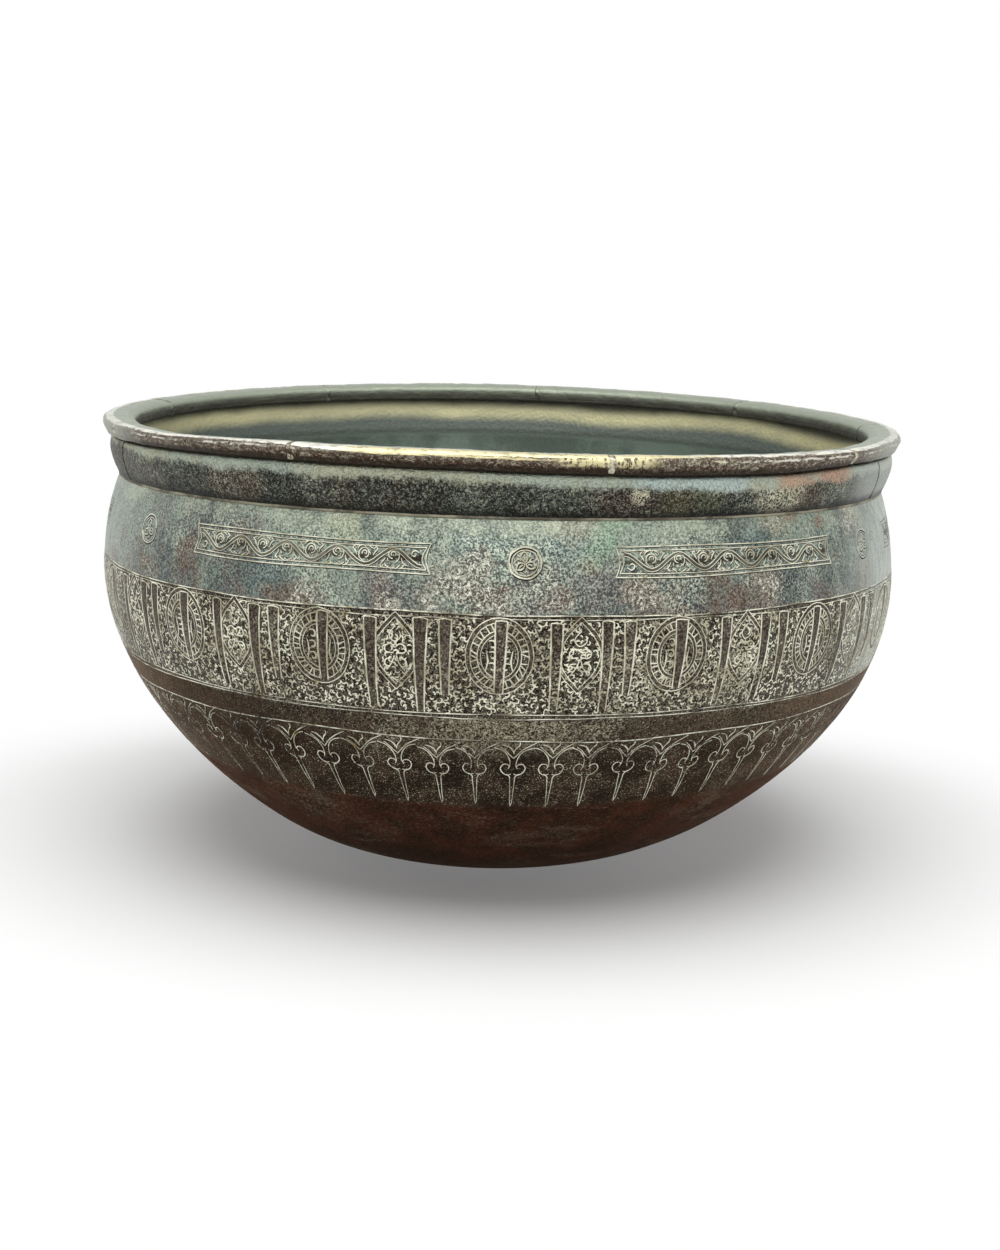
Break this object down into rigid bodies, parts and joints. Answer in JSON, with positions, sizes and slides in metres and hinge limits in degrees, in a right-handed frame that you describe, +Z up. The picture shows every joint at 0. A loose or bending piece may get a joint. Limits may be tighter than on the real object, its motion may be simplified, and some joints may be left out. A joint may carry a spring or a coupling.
{
  "type": "bowl",
  "caption": "Deep round-bottomed copper alloy bowl with a swelling shoulder, a moulded neck collar and a heavy capped lip.",
  "frame": {"origin": "middle of the bowl's base, on the surface it stands on", "axes": "+Z up along the bowl's axis, -Y towards the front in the picture, +X to the right"},
  "size_m": [0.3, 0.3, 0.167],
  "materials": {
    "body_copper": "dark brown and grey-green patina over tinned copper alloy, semi-matt",
    "collar_copper": "pitted grey-green patina, semi-matt",
    "lip_brass": "brown patina worn to bright brass on the crown",
    "solder": "dull grey soft solder"
  },
  "bodies": {
    "root": {"bowl_body": "body_copper", "collar_solder_bead": "solder", "collar_strip_front": "collar_copper", "collar_strip_back_right": "collar_copper", "collar_strip_back_left": "collar_copper", "collar_seam_solder_1": "solder", "collar_seam_solder_2": "solder", "collar_seam_solder_3": "solder", "lip_bar_1": "lip_brass", "lip_joint_solder_1": "solder", "lip_bar_2": "lip_brass", "lip_joint_solder_2": "solder", "lip_bar_3": "lip_brass", "lip_joint_solder_3": "solder", "lip_bar_4": "lip_brass", "lip_joint_solder_4": "solder", "lip_bar_5": "lip_brass", "lip_joint_solder_5": "solder", "lip_bar_6": "lip_brass", "lip_joint_solder_6": "solder", "lip_bar_7": "lip_brass", "lip_joint_solder_7": "solder", "lip_bar_8": "lip_brass", "lip_joint_solder_8": "solder", "lip_bar_9": "lip_brass", "lip_joint_solder_9": "solder"}
  },
  "joints": []
}
